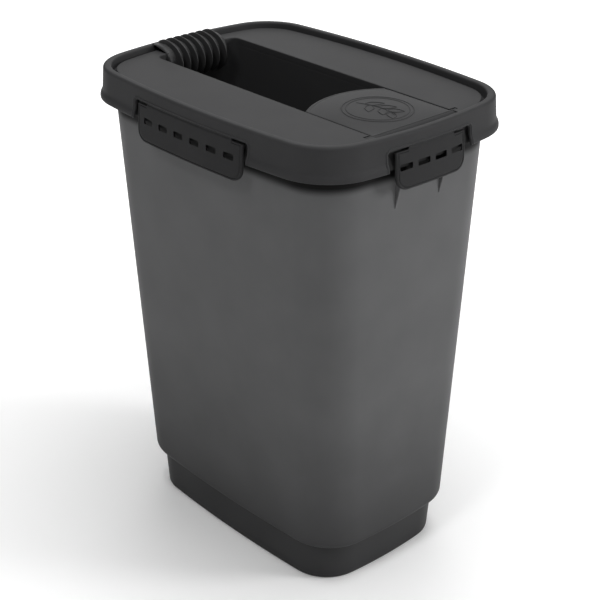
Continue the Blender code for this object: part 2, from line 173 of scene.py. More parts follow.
# Section of a raised line, as (place across over its width, share of its height).
RAISED = ((-0.5, 0.0), (-0.25, 0.8), (0.0, 1.0), (0.25, 0.8), (0.5, 0.0))
BURY = 0.0006
LONG_CLIP = {"half": CLIP_HIGH[0], "notch": CLIP_HIGH[0] + 0.0055, "slots": 6,
             "pitch": 0.0223, "slot": 0.0115, "along": "x"}
SHORT_CLIP = {"half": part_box("clip_right")[1][1], "notch": 0.0497, "slots": 4,
              "pitch": 0.0203, "slot": 0.0130, "along": "y"}
CLIPS = (
    ("clip_front", LONG_CLIP, -1), ("clip_back", LONG_CLIP, 1),
    ("clip_left", SHORT_CLIP, -1), ("clip_right", SHORT_CLIP, 1),
)
# Slot cutter, as (depth from the rim's face, growth of its outline).
SLOT_LEVELS = ((-0.003, 0.0002), (0.0, 0.0002), (0.0003, 0.0001), (0.0006, 0.0),
               (0.0012, 0.0004), (0.006, 0.0034))
SLOT_CORNER = 0.0006

# Film hinges: insets of the crease, None where the web follows its neighbour's face.
FILM_CREASE = (None, None, 0.0029, 0.0032, 0.0032, 0.0029, None)
FILM_ZS = (NOTCH_Z + 0.0013, NOTCH_Z + 0.0009, NOTCH_Z + 0.0003, NOTCH_Z - 0.0002,
           CLIP_TOP_Z - 0.0003, CLIP_TOP_Z - 0.0008, CLIP_TOP_Z - 0.0014)
FILM_THICK = 0.0008
FILM_STEPS = 32

# Ribbed grip: thin fins round a core, both with an elliptical section. Its reach, rise and
# sink are the ellipse's half axes: outward, up and down.
GRIP_HALF = GRIP_HIGH[1]
RIB_COUNT = 7
RIB_PITCH = 0.0090
RIB_HALF = 0.0011
RIB_DEPTH = (0.0086, 0.0044)
GRIP_REACH = 0.0270
GRIP_RISE = 0.0196
GRIP_SINK = 0.0220
GRIP_LAST_ANGLE = 144
GRIP_CENTRE = (GRIP_HIGH[0] - GRIP_REACH, GRIP_HIGH[2] - GRIP_RISE)
GRIP_BACK_X = RECESS_X[0] + 0.0004
GRIP_DROP_X = -0.1618
GRIP_GAP = 0.0003
GRIP_UNDER_Z = CREST_Z + GRIP_GAP
GRIP_START_RISE = 0.0019
GRIP_STEPS = 32
# Ends of the core, as (distance in from the end, share of the ribs' depth).
GRIP_ENDS = ((0.0, 1.40), (0.0004, 1.20), (0.0012, 1.05), (0.0024, 1.0))

# Pour flap.
FLAP_HALF = 0.0474
FLAP_SAG = 0.0160
FLAP_TOP_Z = PANEL_Z - 0.0003
FLAP_UNDER_Z = PANEL_Z - 0.0029
FLAP_CROWN = 0.0024
FLAP_ROLL = 0.0030
FLAP_SIDE_ROUND = 0.0008
FLAP_BOW = 2.6
# A shallow groove that follows the free edge: distance in, depth and half width.
FLAP_GROOVE = (0.0050, 0.0004, 0.0008)
# The lip under the free edge: its width and its drop.
FLAP_LIP = (0.0034, 0.0024)
LEAST_SKIN = 0.0004
FLAP_ROWS = 45
FLAP_COLUMNS = 97
CROWDING = 1.9
PIN_RADIUS = 0.0015
PIN_END_RADIUS = 0.0012
PIN_END_BEVEL = 0.0003
EMBLEM_X = 0.1080
EMBLEM_RADIUS = 0.0320
# The emblem's rings, as (name, distances in from its radius, height).
EMBLEM_RINGS = (("outer", 0.0012, 0.0, 0.00045), ("inner", 0.0048, 0.0038, 0.00040))
EMBLEM_RING_BEVEL = 0.0004
EMBLEM_RELIEF = 0.00055
STEM_STEPS = 24
STEM_WIDTH = 0.0013
STEM_X = (EMBLEM_X - 0.0230, EMBLEM_X + 0.0210)
STEM_BOW = 0.0050
STEM_Y = -0.002
LEAF_WIDTH = 0.0011
LEAF_BOW = 0.0040
# Angle in degrees and length of the leaves at the stem's start and end.
LEAF_ANGLES = (58, 32)
LEAF_LENGTHS = (0.0185, 0.0145)
# Leaves, as (share of the way along the stem, side they turn to).
LEAVES = ((0.16, 1), (0.30, -1), (0.44, 1), (0.58, -1), (0.72, 1), (0.84, -1))

# Gussets.
GUSSET_YS = (-0.027, 0.027)
GUSSET_THICK = 0.0022
GUSSET_BEVEL = 0.0005
GUSSET_BURY = 0.0010
GUSSET_TOE = 0.0006
GUSSET_SKIRT_Z = BIN_TOP_Z - 0.0160
GUSSET_TOP_Z = BIN_TOP_Z - 0.0030
GUSSET_LOW_Z = GUSSET_SKIRT_Z - 0.0430
GUSSET_INSETS = (0.0052, 0.0095)


# Outlines -----------------------------------------------------------------

def mix(low, high, t):
    return tuple(p + (q - p) * t for p, q in zip(low, high))


def inset(shape, distance):
    a, b, long_bulge, short_bulge, radius = shape
    return a - distance, b - distance, long_bulge, short_bulge, radius - distance


def corner(shape):
    """Centre of the corner arc that touches both bowed sides, its end angles and ends."""
    a, b, long_bulge, short_bulge, radius = shape
    x_long, y_short = a - radius, b - radius
    for _ in range(40):
        slope = -2 * long_bulge * x_long / a ** 2
        lean = -2 * short_bulge * y_short / b ** 2
        long_norm, short_norm = math.hypot(1, slope), math.hypot(1, lean)
        cx = a - short_bulge * (y_short / b) ** 2 - radius / short_norm
        cy = b - long_bulge * (x_long / a) ** 2 - radius / long_norm
        x_long = cx - radius * slope / long_norm
        y_short = cy - radius * lean / short_norm
    return (cx, cy), (math.atan2(-lean, 1), math.atan2(1, -slope)), x_long, y_short


def long_side(shape, x):
    return shape[1] - shape[2] * (x / shape[0]) ** 2


def short_side(shape, y):
    return shape[0] - shape[3] * (y / shape[1]) ** 2


def quarter(shape):
    """Outline points from the +X axis round the corner to the +Y axis."""
    (cx, cy), (first, last), x_long, y_short = corner(shape)
    radius = shape[4]
    points = []
    for i in range(SHORT_STEPS):
        y = y_short * i / SHORT_STEPS
        points.append((short_side(shape, y), y))
    for i in range(ARC_STEPS):
        angle = first + (last - first) * i / ARC_STEPS
        points.append((cx + radius * math.cos(angle), cy + radius * math.sin(angle)))
    for i in range(LONG_STEPS + 1):
        x = x_long * (1 - i / LONG_STEPS)
        points.append((x, long_side(shape, x)))
    return points


def loop(shape, z):
    """One closed outline at height z, anticlockwise from the +X axis."""
    first = quarter(shape)
    half = first + [(-x, y) for x, y in reversed(first[:-1])]
    other = [(-x, -y) for x, y in half[1:-1]]
    return [(x, y, z) for x, y in half + other]


def soften(points, reach, steps=3):
    """Rounds the inner points of a path: each becomes a short curve of at most reach."""
    out = [points[0]]
    for before, here, after in zip(points, points[1:], points[2:]):
        pair = []
        for other in (before, after):
            gap = math.dist(here, other)
            share = min(reach, 0.45 * gap) / gap
            pair.append([h + (o - h) * share for h, o in zip(here, other)])
        for i in range(steps + 1):
            t = i / steps
            weights = ((1 - t) ** 2, 2 * t * (1 - t), t ** 2)
            parts = (pair[0], here, pair[1])
            out.append(tuple(sum(w * p[k] for w, p in zip(weights, parts))
                             for k in range(len(here))))
    out.append(points[-1])
    return out


def rolled(distance, radius):
    """Fall of a rounded edge at a distance in from it."""
    if distance >= radius:
        return 0.0
    return radius * (1 - math.sqrt(1 - (1 - distance / radius) ** 2))


def groove(distance, centre, depth, half_width):
    """Depth of a soft groove at a distance in from an edge."""
    return depth * math.exp(-((distance - centre) / half_width) ** 2)


def lerp(x, xs, ys):
    """Value at x on the broken line through (xs, ys), with xs rising."""
    if x <= xs[0]:
        return ys[0]
    for i in range(1, len(xs)):
        if x <= xs[i]:
            return ys[i - 1] + (ys[i] - ys[i - 1]) * (x - xs[i - 1]) / (xs[i] - xs[i - 1])
    return ys[-1]


# Meshes -------------------------------------------------------------------

SHARP_ANGLE = math.radians(35)


def new_piece(name, bm):
    bmesh.ops.recalc_face_normals(bm, faces=bm.faces)
    mesh = bpy.data.meshes.new(name)
    bm.to_mesh(mesh)
    bm.free()
    smooth(mesh)
    piece = bpy.data.objects.new(name, mesh)
    bpy.context.scene.collection.objects.link(piece)
    return piece


def skin(name, rings, closed=False):
    """A closed body through rings of equal length, capped at both ends or joined up."""
    bm = bmesh.new()
    loops = [[bm.verts.new(point) for point in ring] for ring in rings]
    pairs = list(zip(loops, loops[1:]))
    if closed:
        pairs.append((loops[-1], loops[0]))
    count = len(rings[0])
    for low, high in pairs:
        for i in range(count):
            j = (i + 1) % count
            bm.faces.new((low[i], low[j], high[j], high[i]))
    if not closed:
        bm.faces.new(list(reversed(loops[0])))
        bm.faces.new(loops[-1])
    return new_piece(name, bm)


def plate(name, top, bottom):
    """A closed sheet between two grids of points that share their rows and columns."""
    bm = bmesh.new()
    grids = [[[bm.verts.new(p) for p in row] for row in grid] for grid in (top, bottom)]
    rows, columns = len(top), len(top[0])
    for grid in grids:
        for i in range(rows - 1):
            for j in range(columns - 1):
                bm.faces.new((grid[i][j], grid[i][j + 1], grid[i + 1][j + 1], grid[i + 1][j]))
    rim = [(0, j) for j in range(columns)] + [(i, columns - 1) for i in range(1, rows)]
    rim += [(rows - 1, j) for j in range(columns - 2, -1, -1)]
    rim += [(i, 0) for i in range(rows - 2, 0, -1)]
    upper, lower = grids
    for (i, j), (k, m) in zip(rim, rim[1:] + rim[:1]):
        bm.faces.new((upper[i][j], upper[k][m], lower[k][m], lower[i][j]))
    return new_piece(name, bm)


def block(name, low, high):
    bm = bmesh.new()
    bmesh.ops.create_cube(bm, size=1.0)
    for vert in bm.verts:
        vert.co = [p + (q - p) * (c + 0.5) for p, q, c in zip(low, high, vert.co)]
    return new_piece(name, bm)


def round_rect(half_x, half_y, radius, steps):
    """A rectangle with round corners about the origin, anticlockwise."""
    points = []
    for turn, (sx, sy) in enumerate(((1, 1), (-1, 1), (-1, -1), (1, -1))):
        for i in range(steps + 1):
            angle = (turn + i / steps) * math.pi / 2
            points.append((sx * (half_x - radius) + radius * math.cos(angle),
                           sy * (half_y - radius) + radius * math.sin(angle)))
    return points


def well(name, xs, half, radius, levels, steps=10):
    """An upright block with round corners. levels holds (height, growth) pairs."""
    middle = (xs[0] + xs[1]) / 2
    reach = (xs[1] - xs[0]) / 2
    rings = []
    for z, growth in levels:
        points = round_rect(reach + growth, half + growth, radius + growth, steps)
        rings.append([(middle + x, y, z) for x, y in points])
    return skin(name, rings)


def flared(bottom_z, edge_z, top_z, floor_round, edge_round):
    """Levels of a cutter that leaves a round lip at edge_z and a round floor corner."""
    levels = []
    if floor_round:
        for i in range(5):
            angle = i / 4 * math.pi / 2
            levels.append((bottom_z + floor_round * (1 - math.cos(angle)),
                           -floor_round * (1 - math.sin(angle))))
    else:
        levels.append((bottom_z, 0.0))
    for i in range(5):
        angle = i / 4 * math.pi / 2
        levels.append((edge_z - edge_round + edge_round * math.sin(angle),
                       edge_round * (1 - math.cos(angle))))
    levels.append((top_z, edge_round))
    return levels


def joined(piece, tools, operation):
    """Applies a Boolean with each tool, then removes the tools."""
    for tool in tools:
        step = piece.modifiers.new(tool.name, "BOOLEAN")
        step.object = tool
        step.operation = operation
        step.solver = "EXACT"
    bake(piece)
    smooth(piece.data)
    for tool in tools:
        bpy.data.objects.remove(tool, do_unlink=True)


def bake(piece):
    """Turns the piece's modifiers into plain mesh."""
    graph = bpy.context.evaluated_depsgraph_get()
    mesh = bpy.data.meshes.new_from_object(piece.evaluated_get(graph))
    piece.modifiers.clear()
    old = piece.data
    piece.data = mesh
    bpy.data.meshes.remove(old)


def smooth(mesh):
    """Smooth shading, apart from edges sharper than SHARP_ANGLE."""
    mesh.shade_smooth()
    mesh.set_sharp_from_angle(angle=SHARP_ANGLE)


def even_normals(piece):
    """Lets the large faces set the shading next to small rounded edges."""
    step = piece.modifiers.new("even_normals", "WEIGHTED_NORMAL")
    step.keep_sharp = True
    step.weight = 100
    bake(piece)


def place(piece, body, material, slot, *nodes):
    piece.data.materials.clear()
    piece.data.materials.append(material)
    if nodes:
        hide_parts(*nodes)
    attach(piece, body)


# Materials ----------------------------------------------------------------

def shader_of(name):
    made = bpy.data.materials.new(name)
    made.use_nodes = True
    tree = made.node_tree
    return made, tree, tree.nodes["Principled BSDF"]


def noise(tree, scale, detail, position):
    node = tree.nodes.new("ShaderNodeTexNoise")
    node.inputs["Scale"].default_value = scale
    node.inputs["Detail"].default_value = detail
    tree.links.new(position, node.inputs["Vector"])
    return node


BLOTCH_SCALE = 18.0
BLOTCH_SPREAD = 0.06
ROUGHNESS_SPREAD = 0.05
GRAIN_HEIGHT = 0.0002
SHADE_TOP_Z = 0.5


def moulded(name, colour, roughness, grain_scale, grain):
    """Injection moulded plastic: fine spark-eroded grain and faint flow marks."""
    made, tree, shader = shader_of(name)
    shader.inputs["Metallic"].default_value = 0.0
    position = tree.nodes.new("ShaderNodeTexCoord").outputs["Object"]

    blotch = noise(tree, BLOTCH_SCALE, 3.0, position)
    ramp = tree.nodes.new("ShaderNodeValToRGB")
    for element, at, sign in zip(ramp.color_ramp.elements, (0.30, 0.70), (-1, 1)):
        element.position = at
        element.color = (*[c * (1 + sign * BLOTCH_SPREAD) for c in colour], 1)
    tree.links.new(blotch.outputs["Fac"], ramp.inputs["Fac"])
    tree.links.new(ramp.outputs["Color"], shader.inputs["Base Color"])

    speck = noise(tree, grain_scale, 2.0, position)
    span = tree.nodes.new("ShaderNodeMapRange")
    span.inputs["To Min"].default_value = roughness - ROUGHNESS_SPREAD
    span.inputs["To Max"].default_value = roughness + ROUGHNESS_SPREAD
    tree.links.new(speck.outputs["Fac"], span.inputs["Value"])
    tree.links.new(span.outputs["Result"], shader.inputs["Roughness"])

    bump = tree.nodes.new("ShaderNodeBump")
    bump.inputs["Strength"].default_value = grain
    bump.inputs["Distance"].default_value = GRAIN_HEIGHT
    tree.links.new(speck.outputs["Fac"], bump.inputs["Height"])
    tree.links.new(bump.outputs["Normal"], shader.inputs["Normal"])
    return made, shader


def paint_shade_by_height(made, shader, stops):
    """Paints shade into the base colour: multiplies it by a factor that depends on height, from
    (z, factor) stops.

    The first two stops are the ramp's own ends, at 0 and SHADE_TOP_Z.
    """
    tree = made.node_tree
    position = tree.nodes.new("ShaderNodeTexCoord").outputs["Object"]
    split = tree.nodes.new("ShaderNodeSeparateXYZ")
    tree.links.new(position, split.inputs["Vector"])
    scaled = tree.nodes.new("ShaderNodeMath")
    scaled.operation = "DIVIDE"
    scaled.inputs[1].default_value = SHADE_TOP_Z
    tree.links.new(split.outputs["Z"], scaled.inputs[0])
    ramp = tree.nodes.new("ShaderNodeValToRGB")
    elements = ramp.color_ramp.elements
    for (z, factor), element in zip(stops[:2], elements):
        element.position = z / SHADE_TOP_Z
        element.color = (factor, factor, factor, 1)
    for z, factor in stops[2:]:
        element = elements.new(z / SHADE_TOP_Z)
        element.color = (factor, factor, factor, 1)
    tree.links.new(scaled.outputs["Value"], ramp.inputs["Fac"])
    mixer = tree.nodes.new("ShaderNodeMix")
    mixer.data_type = "RGBA"
    mixer.blend_type = "MULTIPLY"
    mixer.inputs["Factor"].default_value = 1.0
    source = shader.inputs["Base Color"].links[0].from_socket
    tree.links.new(source, mixer.inputs["A"])
    tree.links.new(ramp.outputs["Color"], mixer.inputs["B"])
    tree.links.new(mixer.outputs["Result"], shader.inputs["Base Color"])


# By short name: full name, grey level, extra blue, roughness, grain scale, grain, specular.
MATERIALS = {
    "smoked": ("smoked_plastic", 0.1000, 0.0020, 0.48, 1400, 0.10, 0.05),
    "lid": ("lid_plastic", 0.0350, 0.0010, 0.50, 1800, 0.18, 0.04),
    "flap": ("flap_plastic", 0.0380, 0.0010, 0.50, 1800, 0.18, 0.04),
    "clip": ("clip_plastic", 0.0265, 0.0007, 0.46, 1800, 0.16, 0.03),
    "film": ("film_plastic", 0.0280, 0.0007, 0.44, 1800, 0.10, 0.03),
    "grip": ("grip_rubber", 0.0300, 0.0008, 0.55, 2600, 0.25, 0.30),
    "seal": ("seal_rubber", 0.2000, 0.0000, 0.60, 2200, 0.15, 0.50),
}
SMOKED_TRANSMISSION = 0.03
SMOKED_IOR = 1.49
# The bin's painted shade by height, as (z, factor on its colour): painted shade at the foot,
# a painted shadow just under the rim and painted shade on the skirt, which shows through the
# clips' slots.
BIN_PAINTED_SHADE = (
    (0.0, 0.40), (0.500, 0.45), (0.043, 0.40), (0.051, 0.53), (0.10, 0.74), (0.20, 0.98),
    (0.413, 1.0), (0.4190, 0.04), (0.4290, 0.04), (0.4305, 0.12), (0.4405, 0.12),
    (0.446, 0.55),
)


def make_materials():
    made = {}
    for short, (name, grey, blue, *surface, specular) in MATERIALS.items():
        made[short], shader = moulded(name, (grey, grey, grey + blue), *surface)
        shader.inputs["Specular IOR Level"].default_value = specular
        if short == "smoked":
            shader.inputs["Transmission Weight"].default_value = SMOKED_TRANSMISSION
            shader.inputs["IOR"].default_value = SMOKED_IOR
            # Painted shade on the bin: darker at the foot, under the rim and on the skirt.
            paint_shade_by_height(made[short], shader, BIN_PAINTED_SHADE)
    return made


# Bin ----------------------------------------------------------------------

def bin_rings():
    """Outlines from the underside up the outer face, over the rim and down the inside."""
    rings = []
    for i in range(7):
        angle = i / 6 * math.pi / 2
        drop = FOOT_ROUND * (1 - math.sin(angle))
        rings.append(loop(inset(FOOT_LOW, drop), FOOT_ROUND * (1 - math.cos(angle))))
    for t in (0.5, 0.9, 0.97, 1.0):
        rings.append(loop(mix(FOOT_LOW, FOOT_TOP, t), FOOT_ROUND + (FOOT_Z - FOOT_ROUND) * t))
    for i in range(1, 10):
        turn = i / 9 * math.pi / 2
        shape = mix(FOOT_TOP, WALL_LOW, math.sin(turn))
        rings.append(loop(shape, FOOT_Z + STEP_ROUND * (1 - math.cos(turn))))
    start = FOOT_Z + STEP_ROUND
    spans = [i / WALL_STEPS for i in range(1, WALL_STEPS + 1)]
    for t in spans:
        rings.append(loop(mix(WALL_LOW, WALL_TOP, t), start + (WALL_TOP_Z - start) * t))
    rings += [loop(inset(RIM, distance), BIN_TOP_Z - depth)
              for distance, depth in soften(SKIRT_SECTION, SKIRT_ROUND, 2)]
    for t in reversed([0.0] + spans):
        shape = inset(mix(WALL_LOW, WALL_TOP, t), WALL)
        rings.append(loop(shape, start + (WALL_TOP_Z - start) * t))
    rings.append(loop(inset(FOOT_TOP, WALL), FOOT_Z + INNER_STEP_RISE))
    for sink, rise in ((0.0, 1.0), (0.3, 0.3), (1.0, 0.0)):
        rings.append(loop(inset(FOOT_LOW, WALL + sink * FOOT_ROUND), FLOOR + rise * FOOT_ROUND))
    return rings


def gusset(name, side, y):
    """A triangular web between the wall and the skirt, with a bevelled outer edge."""
    start = FOOT_Z + STEP_ROUND
    height = (GUSSET_LOW_Z - start) / (WALL_TOP_Z - start)
    wall_low = short_side(mix(WALL_LOW, WALL_TOP, height), y)
    wall_top = short_side(WALL_TOP, y)
    skirt, under = [short_side(inset(RIM, distance), y) for distance in GUSSET_INSETS]
    rings = []
    half = GUSSET_THICK / 2
    for at, back in ((-half, GUSSET_BEVEL), (-half * 0.6, 0.0), (half * 0.6, 0.0),
                     (half, GUSSET_BEVEL)):
        profile = (
            (wall_low - GUSSET_BURY, GUSSET_LOW_Z),
            (wall_low + GUSSET_TOE - back, GUSSET_LOW_Z),
            (skirt - back, GUSSET_SKIRT_Z - 0.0008), (skirt, GUSSET_SKIRT_Z),
            (under, GUSSET_TOP_Z), (wall_top - GUSSET_BURY, GUSSET_TOP_Z),
        )
        rings.append([(side * x, y + at, z) for x, z in profile])
    return skin(name, rings)


def make_bin(materials):
    shell = skin("bin_shell", bin_rings())
    webs = [gusset(f"web_{side}_{number}", side, y)
            for side in (1, -1) for number, y in enumerate(GUSSET_YS)]
    joined(shell, webs, "UNION")
    place(shell, "bin", materials["smoked"], "smoked_plastic", "bin")


# Lid ----------------------------------------------------------------------

# The lid's section, as (inset from the rim outline, depth below the crest).
LID_UNDER = (
    (0.0175, 0.0067), (0.0157, 0.0112), (0.0098, 0.0112), (0.0093, 0.0100), (0.0084, 0.0035),
    (0.0064, 0.0035), (0.0055, 0.0180), (0.0042, 0.0225), (0.0024, 0.0270), (0.0018, 0.0306),
)
LID_OUTER = (
    (0.0006, 0.0306), (0.0000, 0.0296), (0.0000, 0.0275), (0.0006, 0.0253), (0.0018, 0.0233),
    (0.0023, 0.0213), (0.0026, 0.0170), (0.0036, 0.0018), (0.0043, 0.0006), (0.0056, 0.0000),
    (0.0095, 0.0000), (0.0106, 0.0006), (0.0110, 0.0017), (0.0116, 0.0078), (0.0121, 0.0090),
    (0.0135, 0.0090), (0.0142, 0.0084), (0.0147, 0.0051), (0.0151, 0.0045), (0.0157, 0.0043),
)
LID_ROUND = 0.0010
FLARE_ZS = [CREST_Z - depth for _, depth in LID_OUTER[1:8]]
FLARE_INSETS = [distance for distance, _ in LID_OUTER[1:8]]


def outline_at(along, s, shape):
    """Distance of an outline's side from the middle plane, at s along the side."""
    return long_side(shape, s) if along == "x" else short_side(shape, s)


def rim_face(along, s, z, out=0.0):
    """Distance from the middle plane of the rim's outer face at s along a side, height z."""
    return outline_at(along, s, inset(RIM, lerp(z, FLARE_ZS, FLARE_INSETS))) + out


def on_side(along, side, s, reach, z):
    """Point on one of the four sides from its place along it and its reach outward."""
    if along == "x":
        return (s, side * reach, z)
    return (side * reach, s, z)


def notch_path(half, growth, corner_radius=NOTCH_CORNER):
    """Upside-down U of the notch, as (place along the side, height)."""
    top = NOTCH_Z + growth
    reach = half + growth
    rise = top - corner_radius - NOTCH_LOW_Z
    path = [(-reach, NOTCH_LOW_Z + rise * i / 6) for i in range(6)]
    for i in range(7):
        angle = math.pi - i / 6 * math.pi / 2
        path.append((-reach + corner_radius + corner_radius * math.cos(angle),
                     top - corner_radius + corner_radius * math.sin(angle)))
    steps = 24
    straight = reach - corner_radius
    path += [(-straight + 2 * straight * i / steps, top) for i in range(1, steps)]
    path += [(-s, z) for s, z in reversed(path[:13])]
    return path


def notch_tool(name, spec, side):
    """Cutter for a notch in the rim's wall that leaves a rounded lip."""
    along = spec["along"]
    rings = []
    for depth, growth in NOTCH_LIP:
        ring = []
        for s, z in notch_path(spec["notch"], growth):
            ring.append(on_side(along, side, s, rim_face(along, s, z, -depth), z))
        rings.append(ring)
    rings.append([on_side(along, side, s, outline_at(along, s, RIM) - NOTCH_END[along], z)
                  for s, z in notch_path(spec["notch"], 0.0)])
    return skin(name, rings)


def hinge_slope():
    """Cutter that lets the panel fall away between the flap's hinge and the rim."""
    top = PANEL_Z + CUT_OVER
    profile = soften(HINGE_SLOPE, HINGE_SLOPE_ROUND)
    profile += [(HINGE_SLOPE[-1][0], top), (HINGE_SLOPE[0][0], top)]
    reach = BAY_HALF + HINGE_SLOPE_OVER
    return skin("hinge_slope", [[(x, y, z) for x, z in profile] for y in (-reach, reach)])


def lid_tools():
    """Solids that join the lid's shell, and cutters for its bay, spout, slots and notches."""
    half = BAY_HALF + POCKET_WALL
    floor_z = POCKET_BOTTOM_Z + POCKET_WALL
    above = PANEL_Z + CUT_OVER
    adds = [
        well("pocket", (RECESS_X[0] - POCKET_WALL, RECESS_X[1] + POCKET_WALL), half,
             RECESS_CORNER + POCKET_WALL,
             flared(POCKET_BOTTOM_Z, UNION_Z, UNION_Z + HAIR, POCKET_ROUND, HAIR)),
        block("ledge", (RECESS_X[1] - LEDGE_LAP, -half, LEDGE_Z[0]),
              (BAY_X + LEDGE_PAST, half, UNION_Z)),
    ]
    cuts = [
        well("recess", RECESS_X, BAY_HALF, RECESS_CORNER,
             flared(floor_z, LEDGE_Z[1] - LEDGE_LIP, LEDGE_Z[1] + LEDGE_LIP, RECESS_ROUND,
                    HAIR)),
        well("bay", (RECESS_X[0], BAY_X), BAY_HALF, BAY_CORNER,
             flared(LEDGE_Z[1], PANEL_Z, above, 0.0, EDGE_ROUND)),
        block("bay_end", (BAY_X - BAY_SQUARE, -BAY_HALF, LEDGE_Z[1]),
              (BAY_X, BAY_HALF, above)),
        well("spout", SPOUT_X, SPOUT_HALF, SPOUT_CORNER,
             flared(LEDGE_Z[0] - SPOUT_OVER, LEDGE_Z[1], LEDGE_Z[1] + SPOUT_OVER, 0.0,
                    SPOUT_EDGE_ROUND)),
        block("pin_slots", (FLAP_HINGE[0] - PIN_SLOT_HALF, -PIN_SLOT_REACH, PIN_SLOT_Z),
              (FLAP_HINGE[0] + PIN_SLOT_HALF, PIN_SLOT_REACH, above)),
        hinge_slope(),
    ]
    for side in (-1, 1):
        ends = sorted((side * BAY_HALF, side * (PIN_SLOT_REACH + PIN_WELL_WALL)))
        low = (FLAP_HINGE[0] - PIN_WELL_HALF, ends[0], PIN_SLOT_Z - PIN_WELL_FLOOR)
        adds.append(block(f"pin_well_{side}", low, (BAY_X + 0.0010, ends[1], UNION_Z)))
    for name, spec, side in CLIPS:
        cuts.append(notch_tool(f"{name}_notch", spec, side))
    return adds, cuts


def make_lid(materials):
    section = soften(LID_UNDER + LID_OUTER, LID_ROUND)
    lid = skin("lid_shell", [loop(inset(RIM, distance), CREST_Z - depth)
                             for distance, depth in section])
    adds, cuts = lid_tools()
    joined(lid, adds, "UNION")
    joined(lid, cuts, "DIFFERENCE")
    even_normals(lid)
    place(lid, "lid", materials["lid"], "lid_plastic", "lid")


def make_notch_beads(materials):
    """A low bead round each notch on the rim's outer face."""
    raised = [(across * BEAD_WIDTH, share * BEAD_HEIGHT) for across, share in RAISED]
    sections = [(raised[0][0], -BURY)] + raised + [(raised[-1][0], -BURY)]
    for name, spec, side in CLIPS:
        along = spec["along"]
        rings = []
        paths = [notch_path(spec["notch"], BEAD_OFFSET + across,
                            NOTCH_CORNER + BEAD_OFFSET + across)
                 for across, _ in sections]
        for stations in zip(*paths):
            ring = []
            for (s, z), (_, out) in zip(stations, sections):
                z = max(z, FLARE_ZS[0])
                ring.append(on_side(along, side, s, rim_face(along, s, z, out), z))
            rings.append(ring)
        bead = skin(f"{name}_notch_bead", rings[1:-1])
        place(bead, "lid", materials["lid"], "lid_plastic")


def make_seal(materials):
    """The soft ring under the lid, with softened edges."""
    outer = RIM_A - SEAL_HIGH[0]
    middle, inner = outer + SEAL_WIDTH / 2, outer + SEAL_WIDTH
    low, high = SEAL_LOW[2], SEAL_HIGH[2]
    section = [(inner, low), (middle, low), (outer, low), (outer, high), (middle, high),
               (inner, high), (inner, low)]
    rings = [loop(inset(RIM, distance), z)
             for distance, z in soften(section, SEAL_ROUND, 2)[:-1]]
    seal = skin("lid_seal_ring", rings, closed=True)
    place(seal, "lid", materials["seal"], "seal_rubber", "lid_seal")


# Ribbed grip --------------------------------------------------------------

# Rib section, as (distance from its middle over its half width, share of its full depth).
RIB_SECTION = ((0.0, 0.0), (0.25, 0.004), (0.45, 0.025), (0.58, 0.08), (0.66, 0.18), (0.74, 0.42),
               (0.84, 0.74), (0.92, 0.92), (1.0, 1.0))


def grip_profile(share):
    """Section across the grip, its surface sunk by a share of the ribs' depth."""
    cx, cz = GRIP_CENTRE
    side, crest = [depth * share for depth in RIB_DEPTH]
    reach, rise, sink = GRIP_REACH - side, GRIP_RISE - crest, GRIP_SINK - side
    rim_x = GRIP_LOW[0]
    start_z = max(CREST_Z + GRIP_START_RISE - crest, GRIP_UNDER_Z + GRIP_GAP)
    crest_z = cz + rise
    points = []
    for i in range(8):
        t = i / 8
        lift = math.sin(t * math.pi / 2)
        points.append((rim_x + (cx - rim_x) * t, start_z + (crest_z - start_z) * lift))
    for i in range(GRIP_STEPS + 1):
        angle = math.radians(GRIP_LAST_ANGLE * i / GRIP_STEPS)
        height = rise if angle < math.pi / 2 else sink
        x = cx + reach * math.sin(angle)
        if angle > math.pi / 4:
            x = max(x, GRIP_BACK_X + GRIP_GAP)
        points.append((x, cz + height * math.cos(angle)))
    points += [(GRIP_BACK_X, points[-1][1]), (GRIP_BACK_X, PANEL_Z + GRIP_GAP),
               (GRIP_DROP_X, PANEL_Z + GRIP_GAP), (GRIP_DROP_X, GRIP_UNDER_Z),
               (rim_x, GRIP_UNDER_Z)]
    return points


def make_grip(materials):
    """Seven thin ribs round a smooth core, as one skin across the grip."""
    stations = [(distance - GRIP_HALF, share) for distance, share in GRIP_ENDS]
    section = [(-across, share) for across, share in reversed(RIB_SECTION[1:])]
    section += RIB_SECTION
    for number in range(RIB_COUNT):
        middle = (number - (RIB_COUNT - 1) / 2) * RIB_PITCH
        stations += [(middle + across * RIB_HALF, share) for across, share in section]
    stations += [(-y, share) for y, share in reversed(stations[:len(GRIP_ENDS)])]
    rings = [[(x, y, z) for x, z in grip_profile(share)] for y, share in stations]
    grip = skin("grip_ribs", rings)
    place(grip, "lid", materials["grip"], "grip_rubber", "ribbed_grip")


# Pour flap ----------------------------------------------------------------

FLAP_EDGE_X = FLAP_LOW[0]
FLAP_ARC = (FLAP_HALF ** 2 + FLAP_SAG ** 2) / (2 * FLAP_SAG)


def free_edge(y):
    """X of the flap's bowed free edge."""
    return FLAP_EDGE_X + FLAP_ARC - math.sqrt(FLAP_ARC ** 2 - y ** 2)


def flap_dome(x, y):
    """Height of the flap's top surface above its edges, without the edge roll."""
    start = free_edge(max(-FLAP_HALF, min(FLAP_HALF, y)))
    u = 2 * (x - start) / (FLAP_HINGE[0] - start) - 1
    u = max(-1.0, min(1.0, u))
    v = max(-1.0, min(1.0, y / FLAP_HALF))
    return FLAP_CROWN * (1 - abs(u) ** FLAP_BOW) * (1 - abs(v) ** FLAP_BOW)


def flap_top(x, y):
    return FLAP_TOP_Z + flap_dome(x, y)


def spread(count, ease):
    """Steps from -1 to 1 that crowd towards both ends."""
    steps = []
    for i in range(count):
        t = 2 * i / (count - 1) - 1
        steps.append(math.copysign(1 - (1 - abs(t)) ** ease, t))
    return steps


